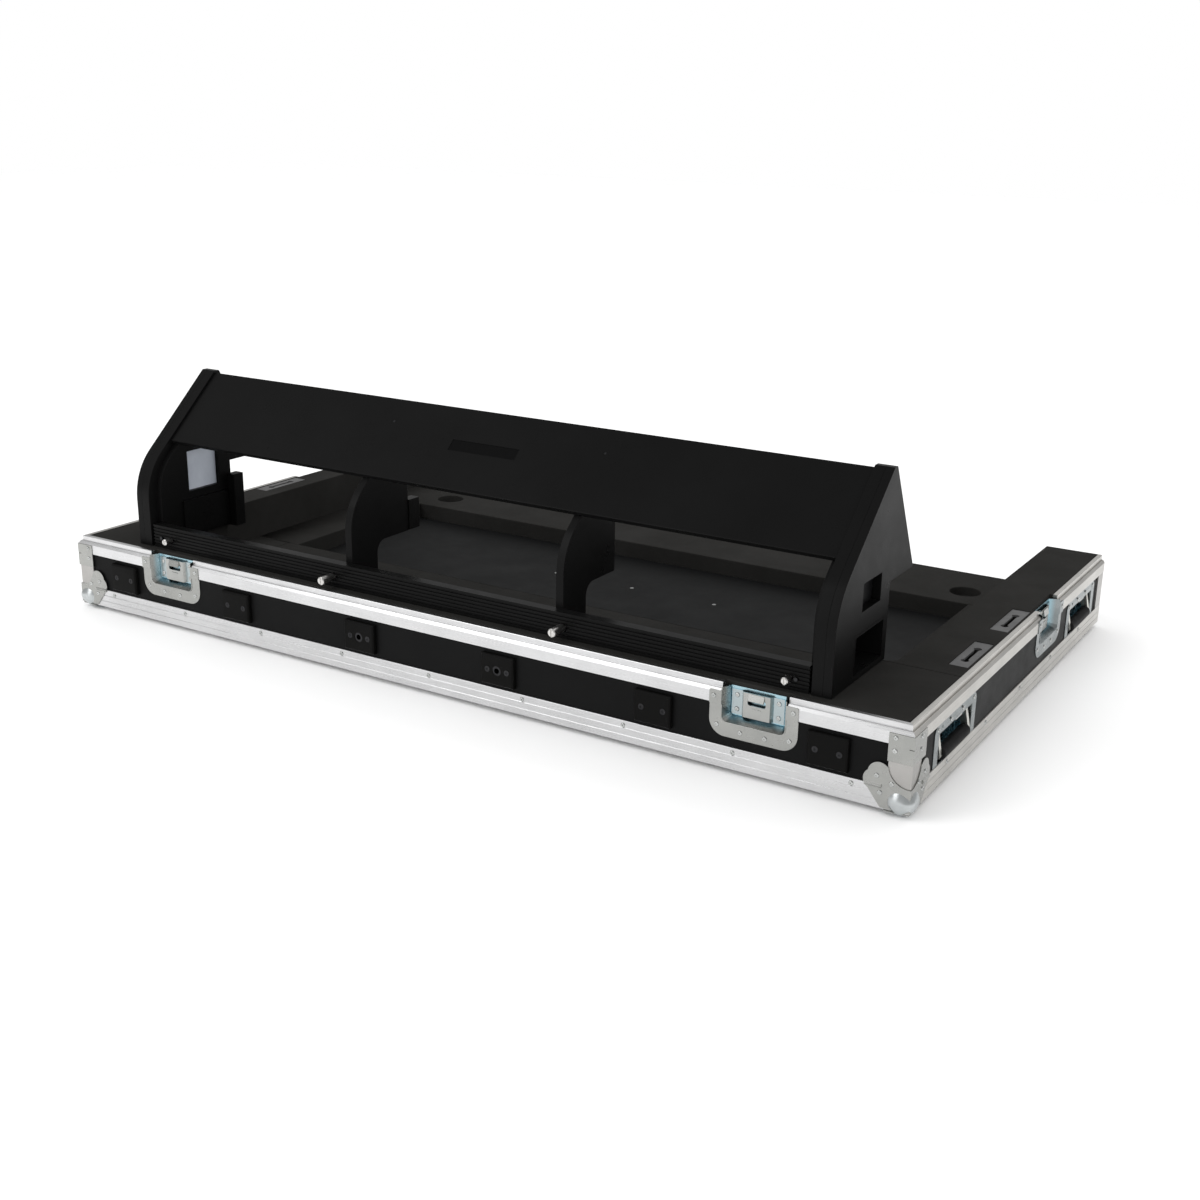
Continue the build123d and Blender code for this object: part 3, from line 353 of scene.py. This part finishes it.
def read_places(material, readers, turned=False):
    """Feed object coordinates to some nodes, turned a quarter where lines run along Y."""
    tree = material.node_tree
    coordinates = tree.nodes.new("ShaderNodeTexCoord")
    mapping = tree.nodes.new("ShaderNodeMapping")
    if turned:
        mapping.inputs["Rotation"].default_value = (0.0, 0.0, math.radians(90))
    tree.links.new(coordinates.outputs["Object"], mapping.inputs["Vector"])
    for node in readers:
        tree.links.new(mapping.outputs["Vector"], node.inputs["Vector"])


def blend_colours(tree, mask, second):
    """A mix node that brings in a second colour by a mask. Its input A is left to set."""
    blend = tree.nodes.new("ShaderNodeMix")
    blend.data_type = "RGBA"
    blend.inputs["B"].default_value = (*second, 1.0)
    tree.links.new(mask, blend.inputs["Factor"])
    return blend


def two_tone(material, shader, mask, first, second):
    """Blend two colours by a mask into the base colour."""
    tree = material.node_tree
    blend = blend_colours(tree, mask, second)
    blend.inputs["A"].default_value = (*first, 1.0)
    tree.links.new(blend.outputs["Result"], shader.inputs["Base Color"])


def tint_over(material, shader, mask, colour):
    """Bring one more colour over whatever already feeds the base colour."""
    tree = material.node_tree
    plain = shader.inputs["Base Color"].links[0].from_socket
    blend = blend_colours(tree, mask, colour)
    tree.links.new(plain, blend.inputs["A"])
    tree.links.new(blend.outputs["Result"], shader.inputs["Base Color"])


def add_bump(material, shader, height, strength, distance):
    """Feed a height into the shader's normal."""
    tree = material.node_tree
    bump = tree.nodes.new("ShaderNodeBump")
    bump.inputs["Strength"].default_value = strength
    bump.inputs["Distance"].default_value = distance
    tree.links.new(height, bump.inputs["Height"])
    tree.links.new(bump.outputs["Normal"], shader.inputs["Normal"])


# %% [markdown]
# ## Black boards, foam and plastic
# The tray's panels are plywood with a black pebbled face, and the cradle is satin black
# board. Foam has large pores and hardly any gloss. They differ in tone, gloss and pebble
# size only, so one function makes every one of them.

# %% How a board finish is made
board_index = 1.33
pebble_height = 0.0004
gloss_to_tone = 3.1


def board_finish(name, dark, light, rough, cells, bump, patches=5.0, shine=0.12):
    """A board, foam or plastic face: two close tones, uneven gloss and a pebbled surface."""
    material, shader = new_material(name)
    shader.inputs["Specular IOR Level"].default_value = shine
    shader.inputs["IOR"].default_value = board_index
    tone = place_group(material, smears, Scale=patches)
    gloss = place_group(
        material, smears, Scale=patches * gloss_to_tone, Low=rough[0], High=rough[1]
    )
    pebble = place_group(material, pores, Cells_per_metre=cells)
    read_places(material, (tone, gloss, pebble))
    two_tone(material, shader, tone.outputs["Value"], dark, light)
    material.node_tree.links.new(gloss.outputs["Value"], shader.inputs["Roughness"])
    add_bump(material, shader, pebble.outputs["Height"], bump, pebble_height)
    print("finish:", name)
    return material


# %% Boards of the tray and cradle
panel_black = board_finish(
    "panel_black", dark=(0.0046, 0.0047, 0.0048), light=(0.0062, 0.0063, 0.0064),
    rough=(0.36, 0.48), cells=1500.0, bump=0.2,
)
cradle_black = board_finish(
    "cradle_black", dark=(0.0046, 0.0046, 0.0046), light=(0.0058, 0.0058, 0.0058),
    rough=(0.26, 0.36), cells=2600.0, bump=0.06,
)
pad_black = board_finish(
    "pad_black", dark=(0.0030, 0.0030, 0.0028), light=(0.0040, 0.0039, 0.0037),
    rough=(0.36, 0.48), cells=2000.0, bump=0.12,
)
pit_board = board_finish(
    "pit_board", dark=(0.0105, 0.0108, 0.0110), light=(0.0120, 0.0123, 0.0125),
    rough=(0.50, 0.62), cells=1200.0, bump=0.2, patches=4.0,
)

# %% Foam, plastic and rubber
foam_charcoal = board_finish(
    "foam_charcoal", dark=(0.0185, 0.0180, 0.0168), light=(0.0250, 0.0243, 0.0230),
    rough=(0.9, 1.0), cells=900.0, bump=0.5, patches=9.0,
)
plate_grey = board_finish(
    "plate_grey", dark=(0.085, 0.085, 0.086), light=(0.110, 0.110, 0.111),
    rough=(0.35, 0.50), cells=2200.0, bump=0.1, patches=30.0, shine=0.3,
)
grip_black = board_finish(
    "grip_black", dark=(0.0085, 0.0083, 0.0085), light=(0.0120, 0.0118, 0.0120),
    rough=(0.45, 0.58), cells=1800.0, bump=0.2, patches=30.0,
)
name_plate = board_finish(
    "name_plate", dark=(0.0012, 0.0012, 0.0013), light=(0.0018, 0.0018, 0.0019),
    rough=(0.28, 0.38), cells=3000.0, bump=0.05,
)
foot_rubber = board_finish(
    "foot_rubber", dark=(0.015, 0.015, 0.015), light=(0.022, 0.022, 0.022),
    rough=(0.75, 0.85), cells=1500.0, bump=0.2,
)
# The window plates' light colour is partly the white sheet and partly painted light shining through the
# window.
frosted_painted_backlight = board_finish(
    "frosted_painted_backlight", dark=(0.60, 0.64, 0.71), light=(0.50, 0.54, 0.61),
    rough=(0.42, 0.55), cells=900.0, bump=0.05, patches=20.0,
)

# %% [markdown]
# ## Window plates
# The window plates in the cheeks are frosted white sheet, masked black on the face that looks
# outward. Their inner face is painted bright, partly the sheet's own white and partly painted
# light coming through the window. The mask is a step in the distance from the middle of the tray.

# %% The mask on the window plates
mask_depth = 0.0012
mask_colour = (0.006, 0.006, 0.0065)


def mask_outer_face(material, beyond, colour):
    """Paint what lies further out than a distance along X in the mask's colour."""
    tree = material.node_tree
    coordinates = tree.nodes.new("ShaderNodeTexCoord")
    split = tree.nodes.new("ShaderNodeSeparateXYZ")
    distance = math_node(tree, "ABSOLUTE")
    outside = math_node(tree, "GREATER_THAN")
    outside.inputs[1].default_value = beyond
    tree.links.new(coordinates.outputs["Object"], split.inputs["Vector"])
    tree.links.new(split.outputs["X"], distance.inputs[0])
    tree.links.new(distance.outputs[0], outside.inputs[0])
    tint_over(material, tree.nodes["Principled BSDF"], outside.outputs[0], colour)


window_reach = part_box("cheek_window_plates")[1].x
mask_outer_face(frosted_painted_backlight, window_reach - mask_depth, mask_colour)
print("window plates masked beyond", round(window_reach - mask_depth, 4), "m")

# %% [markdown]
# ## Drawn aluminium and steel
# The sections are drawn aluminium, so their lines run lengthwise: along X at the front and
# along Y at the sides, where the metal is also duller. The side sections are painted darker and
# a little warmer, and the corner angles darker still, as painted shade. Bails, pins, rivets and
# screws are steel, with finer or coarser lines. Lines show more in the gloss than in the colour,
# so they drive the roughness and a very low bump.

# %% How a metal finish is made
line_height = 0.0001


def metal_finish(name, first, second, rough, lines=900.0, turned=False, patches=14.0, bump=0.05):
    """Metal with fine lines in its gloss, and two tones that shift in broad patches."""
    material, shader = new_material(name)
    shader.inputs["Metallic"].default_value = 1.0
    tone = place_group(material, smears, Scale=patches)
    drawn = place_group(material, brush_lines, Lines_per_metre=lines, Low=rough[0], High=rough[1])
    ridges = place_group(material, brush_lines, Lines_per_metre=lines)
    read_places(material, (tone, drawn, ridges), turned)
    two_tone(material, shader, tone.outputs["Value"], first, second)
    material.node_tree.links.new(drawn.outputs["Value"], shader.inputs["Roughness"])
    add_bump(material, shader, ridges.outputs["Value"], bump, line_height)
    print("finish:", name)
    return material


# %% Aluminium sections
front_silver = metal_finish(
    "front_silver", (0.70, 0.70, 0.705), (0.62, 0.62, 0.625), (0.24, 0.38)
)
# The side sections are the same aluminium, painted darker and a little warmer as painted shade.
side_silver_painted_shade = metal_finish(
    "side_silver_painted_shade", (0.64, 0.625, 0.595), (0.53, 0.52, 0.495), (0.30, 0.44), turned=True
)
# The corner angles are the same aluminium again, painted darker still as painted shade between brace
# and ball.
corner_silver_painted_shade = metal_finish(
    "corner_silver_painted_shade", (0.47, 0.46, 0.445), (0.40, 0.39, 0.375), (0.30, 0.42), turned=True
)

# %% Balls, bails, rivets, pins and screws
# The balls are painted lighter and bluer than the flanges pressed from the same sheet: a painted
# highlight.
ball_zinc_painted_light = metal_finish(
    "ball_zinc_painted_light", (0.56, 0.585, 0.59), (0.50, 0.525, 0.53), (0.29, 0.33), patches=60.0, bump=0.0
)
bail_steel = metal_finish(
    "bail_steel", (0.74, 0.73, 0.68), (0.60, 0.60, 0.56), (0.28, 0.40), lines=500.0
)
rivet_steel = metal_finish(
    "rivet_steel", (0.58, 0.59, 0.58), (0.42, 0.43, 0.42), (0.14, 0.20), patches=60.0
)
pin_steel = metal_finish(
    "pin_steel", (0.70, 0.69, 0.67), (0.60, 0.59, 0.57), (0.26, 0.36), lines=1500.0
)
screw_black = metal_finish(
    "screw_black", (0.045, 0.045, 0.047), (0.03, 0.03, 0.032), (0.28, 0.40), patches=60.0
)
insert_black = metal_finish(
    "insert_black", (0.045, 0.045, 0.047), (0.030, 0.030, 0.032), (0.30, 0.42), patches=60.0
)

# %% [markdown]
# ## Bright zinc
# Latch dishes, handle dishes, keepers and corner braces are pressed from zinc-plated sheet.
# Their outer faces are an even grey, and down in a recess a bluish reflection is painted into
# the colour. The recess depth group gives that painted blue its place.

# %% How a zinc finish is made
zinc_patches = 22.0
zinc_gloss_patches = 45.0
tray_low, tray_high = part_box("front_bottom_angle")


def zinc_finish(name, plain, patchy, painted_recess_blue, rough, near, far):
    """Bright zinc: an even grey outside, with a bluish reflection painted down in a recess."""
    material, shader = new_material(name)
    shader.inputs["Metallic"].default_value = 1.0
    tone = place_group(material, smears, Scale=zinc_patches)
    gloss = place_group(material, smears, Scale=zinc_gloss_patches, Low=rough[0], High=rough[1])
    depth = place_group(
        material, recess_depth, Half_length=tray_high.x, Front=tray_low.y, Near=near, Far=far
    )
    read_places(material, (tone, gloss, depth))
    two_tone(material, shader, tone.outputs["Value"], plain, patchy)
    tint_over(material, shader, depth.outputs["Value"], painted_recess_blue)
    material.node_tree.links.new(gloss.outputs["Value"], shader.inputs["Roughness"])
    print("finish:", name)
    return material


# %% Dishes, braces and keepers
# Each zinc gets a painted bluish reflection in its recesses, growing from Near to Far in depth.
zinc = zinc_finish(
    "zinc", plain=(0.40, 0.402, 0.385), patchy=(0.34, 0.344, 0.33), painted_recess_blue=(0.38, 0.55, 0.615),
    rough=(0.22, 0.30), near=0.003, far=0.012,
)
# The side dishes are a darker, bluer copy of the same zinc, painted shade for the sides.
side_zinc_painted_shade = zinc_finish(
    "side_zinc_painted_shade", plain=(0.31, 0.335, 0.34), patchy=(0.21, 0.235, 0.24), painted_recess_blue=(0.32, 0.47, 0.53),
    rough=(0.22, 0.32), near=0.004, far=0.014,
)
keeper_zinc = zinc_finish(
    "keeper_zinc", plain=(0.42, 0.425, 0.41), patchy=(0.36, 0.365, 0.35), painted_recess_blue=(0.43, 0.53, 0.565),
    rough=(0.20, 0.28), near=0.011, far=0.0155,
)

# %% [markdown]
# ## Which part has which finish
# One table pairs each finish with its parts, and a loop fills their material slots. Parts
# that a softened piece replaces further down get their finish there.

# %% Finishes on the parts
finished_parts = [
    (panel_black, ["front_board", "rear_board", "left_board", "right_board", "base_board"]),
    (front_silver, ["front_rim", "front_bottom_angle", "rear_bottom_angle"]),
    (side_silver_painted_shade, ["left_rim", "right_rim", "left_bottom_angle", "right_bottom_angle"]),
    (corner_silver_painted_shade, ["corner_angles"]),
    (bail_steel, ["handle_pins"]),
    (rivet_steel, ["bottom_rivets", "corner_rivets", "latch_rivets", "handle_rivets"]),
    (rivet_steel, ["floor_screws"]),
    (pin_steel, ["long_pins", "short_pins"]),
    (insert_black, ["pad_inserts"]),
    (screw_black, ["pad_screws", "cradle_screws"]),
    (plate_grey, ["ledge_slot_plates"]),
    (cradle_black, ["cheek_cups"]),
    (name_plate, ["panel_name_plate"]),
    (frosted_painted_backlight, ["cheek_window_plates"]),
    (pit_board, ["floor_sheet"]),
    (foot_rubber, ["rear_feet"]),
]
for material, members in finished_parts:
    for name in members:
        for slot in nodes[name].material_slots:
            slot.material = material
print("parts finished as packed:", sum(len(members) for _, members in finished_parts))

# %% [markdown]
# ## Softened copies
# A computer model's edges are perfectly sharp, but a real edge always has a small radius, and
# that is where it catches light. Foam rounds over by its own softness, routed boards get a
# light sanding, and pressed sheet bends round its die. A bevel on every sharp edge of a merged
# copy gives all three, each with its own radius, and the copy takes the plain part's place.

# %% Helpers for softened copies
join_distance = 1e-6
flat_angle = math.radians(0.5)
sharp_angle = math.radians(50)
bevel_segments = 2


def merged_copy(node):
    """A bmesh of a node's mesh with its loose triangles joined and flat faces merged."""
    shape = bmesh.new()
    shape.from_mesh(nodes[node].data)
    bmesh.ops.remove_doubles(shape, verts=shape.verts, dist=join_distance)
    bmesh.ops.dissolve_limit(
        shape, angle_limit=flat_angle, verts=shape.verts, edges=shape.edges
    )
    return shape


def soften(node, radius):
    """Round the sharp edges of a copy of a node by a small radius."""
    shape = merged_copy(node)
    corners = [
        edge
        for edge in shape.edges
        if len(edge.link_faces) == 2 and edge.calc_face_angle(0.0) > sharp_angle
    ]
    bmesh.ops.bevel(
        shape,
        geom=corners,
        offset=radius,
        segments=bevel_segments,
        profile=0.5,
        affect="EDGES",
        clamp_overlap=True,
        material=-1,
    )
    return shape


def to_piece(shape, name, body, material, replaced, crease=sharp_angle):
    """Turn a bmesh into a finished piece that rides on a body and replaces its nodes."""
    mesh = bpy.data.meshes.new(name)
    shape.to_mesh(mesh)
    shape.free()
    mesh.materials.append(material)
    for polygon in mesh.polygons:
        polygon.use_smooth = True
        polygon.material_index = 0
    mesh.set_sharp_from_angle(angle=crease)
    piece = bpy.data.objects.new(name, mesh)
    scene.collection.objects.link(piece)
    flats = piece.modifiers.new("flats stay flat", "WEIGHTED_NORMAL")
    flats.keep_sharp = True
    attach(piece, body)
    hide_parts(*replaced)
    print(piece.name, len(mesh.polygons), "faces")
    return piece


# %% [markdown]
# Foam first. It is the softest, so its cut edges get the largest radius.

# %% Foam
foam_edge = 0.0015
for node in [name for name in nodes if name.startswith("foam_")]:
    cushion = to_piece(
        soften(node, foam_edge), f"soft_{node}", "tray", foam_charcoal, [node]
    )

# %% [markdown]
# Then the cradle's boards. Each cheek is laid up from plates, and the sanded edges are what
# shows the joints between them. Pads and pressed dishes follow, with radii of their own, and
# each handle's bail and grip ride on that handle's body.

# %% Boards, pads, pressed parts and handles
cheek_edge = 0.0008
panel_edge = 0.0005
strip_edge = 0.0004
pad_edge = 0.0005
sheet_edge = 0.0004
handle_edge = 0.0005

softened = [
    (cheek_edge, "cradle", cradle_black, "cradle_board", ["cheek_outer_plates", "cheek_middle_plates"]),
    (panel_edge, "cradle", cradle_black, "cradle_board", ["cheek_linings", "ribs", "sloped_panel"]),
    (strip_edge, "cradle", cradle_black, "cradle_board", ["sill_board", "rear_battens"]),
    (pad_edge, "tray", pad_black, "pad_black", ["front_pads", "insert_pads"]),
    (sheet_edge, "tray", zinc, "zinc", ["front_latch_dishes", "corner_braces"]),
    (sheet_edge, "tray", side_zinc_painted_shade, "zinc", ["side_latch_dishes"]),
    (sheet_edge, "tray", side_zinc_painted_shade, "zinc", ["left_handle_dishes", "right_handle_dishes"]),
    (sheet_edge, "tray", keeper_zinc, "zinc", ["latch_keepers"]),
]
hinges = [joint for joint in frame["joints"] if joint["type"] == "hinge"]
for joint in hinges:
    handle = joint["child"]
    end = handle.removeprefix("handle_")
    softened.append((handle_edge, handle, bail_steel, "bail_steel", [f"handle_bail_{end}"]))
    softened.append((handle_edge, handle, grip_black, "grip_black", [f"handle_grip_{end}"]))
for radius, body, material, slot, members in softened:
    for node in members:
        to_piece(soften(node, radius), f"soft_{node}", body, material, [node])

# %% [markdown]
# ## Ball corners
# The ball corners are pressed from one sheet: a ball that takes the knocks, and a flange on
# each side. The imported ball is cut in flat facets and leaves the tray's edge bare, so a finely
# divided ball stands in front of it. A hull drawn over the ball and a smaller one nearer the
# edge wraps round the corner, as the pressed sheet does. The hull is drawn from bare points,
# because faces left over from the two balls would lie in the same place as its own.

# %% Ball corners
ball_radius = 0.02005
ball_inset = 0.014
knuckle_radius = 0.0128
knuckle_inset = 0.0068
ball_height = 0.0195
ball_segments = 64
ball_rings = 40
buried_depth = 0.003
floor_gap = 0.0002
flange_crease = math.radians(25)


def ball_shape(side):
    """One skin round a ball and a knuckle, open where it lies deep inside the tray."""
    shape = bmesh.new()
    for radius, inset in ((ball_radius, ball_inset), (knuckle_radius, knuckle_inset)):
        middle = Vector((side * (tray_high.x - inset), tray_low.y + inset, ball_height))
        bmesh.ops.create_uvsphere(
            shape,
            u_segments=ball_segments,
            v_segments=ball_rings,
            radius=radius,
            matrix=Matrix.Translation(middle),
        )
    bmesh.ops.delete(shape, geom=list(shape.edges) + list(shape.faces), context="EDGES_FACES")
    hull = bmesh.ops.convex_hull(shape, input=shape.verts)
    inner = [item for item in hull["geom_interior"] if isinstance(item, bmesh.types.BMVert)]
    bmesh.ops.delete(shape, geom=inner, context="VERTS")
    for point in shape.verts:
        point.co.z = max(point.co.z, floor_gap)
    buried = [
        point
        for point in shape.verts
        if abs(point.co.x) < tray_high.x - buried_depth
        and point.co.y > tray_low.y + buried_depth
        and point.co.z > tray_low.z
    ]
    bmesh.ops.delete(shape, geom=buried, context="VERTS")
    bmesh.ops.recalc_face_normals(shape, faces=shape.faces)
    return shape


flanges = merged_copy("ball_corners")
to_piece(flanges, "ball_flanges", "tray", zinc, ["ball_corners"], flange_crease)
# Each ball takes the lighter finish, a painted highlight, while the flanges keep the plain zinc.
for name, side in (("ball_left", -1.0), ("ball_right", 1.0)):
    to_piece(ball_shape(side), name, "tray", ball_zinc_painted_light, ["ball_corners"])

# %% [markdown]
# ## Handle springs
# Each handle closes by itself, because a torsion spring is wound round its pin. Spinning a
# small circle about the pin while it moves along gives the winding in one step, and a leg
# runs from its end to the back of the dish.

# %% Handle springs
spring_wire = 0.0015
spring_turns = 11
spring_pitch = 0.0022
spring_radius = 0.00355
spring_start = 0.014
ring_points = 10
steps_per_turn = 20
leg_length = 0.0116


def wind_spring(joint):
    """One spring on a handle's pin: a wound wire, its leg and its two closed ends."""
    inward = Vector((joint["axis"][1], 0.0, 0.0))
    along = Vector((0.0, -inward.x, 0.0))
    pivot = Vector(joint["pos_m"])
    start = pivot + along * spring_start + Vector((0.0, 0.0, spring_radius))
    shape = bmesh.new()
    ring = bmesh.ops.create_circle(
        shape, cap_ends=False, radius=spring_wire / 2, segments=ring_points
    )["verts"]
    face_turn = inward.to_track_quat("Z", "Y").to_matrix().to_4x4()
    bmesh.ops.transform(shape, matrix=Matrix.Translation(start) @ face_turn, verts=ring)
    wound = bmesh.ops.spin(
        shape,
        geom=list(shape.edges) + ring,
        cent=pivot,
        axis=along,
        dvec=along * (spring_pitch / steps_per_turn),
        angle=-2 * math.pi * spring_turns,
        steps=spring_turns * steps_per_turn,
        use_merge=False,
        use_duplicate=False,
    )
    last_ring = [item for item in wound["geom_last"] if isinstance(item, bmesh.types.BMEdge)]
    leg = bmesh.ops.extrude_edge_only(shape, edges=last_ring)
    leg_points = [item for item in leg["geom"] if isinstance(item, bmesh.types.BMVert)]
    bmesh.ops.translate(shape, verts=leg_points, vec=inward * leg_length)
    bmesh.ops.holes_fill(shape, edges=shape.edges, sides=ring_points)
    bmesh.ops.recalc_face_normals(shape, faces=shape.faces)
    return shape


for joint in hinges:
    name = f"spring_{joint['child']}"
    to_piece(wind_spring(joint), name, "tray", rivet_steel, ["handle_springs"])
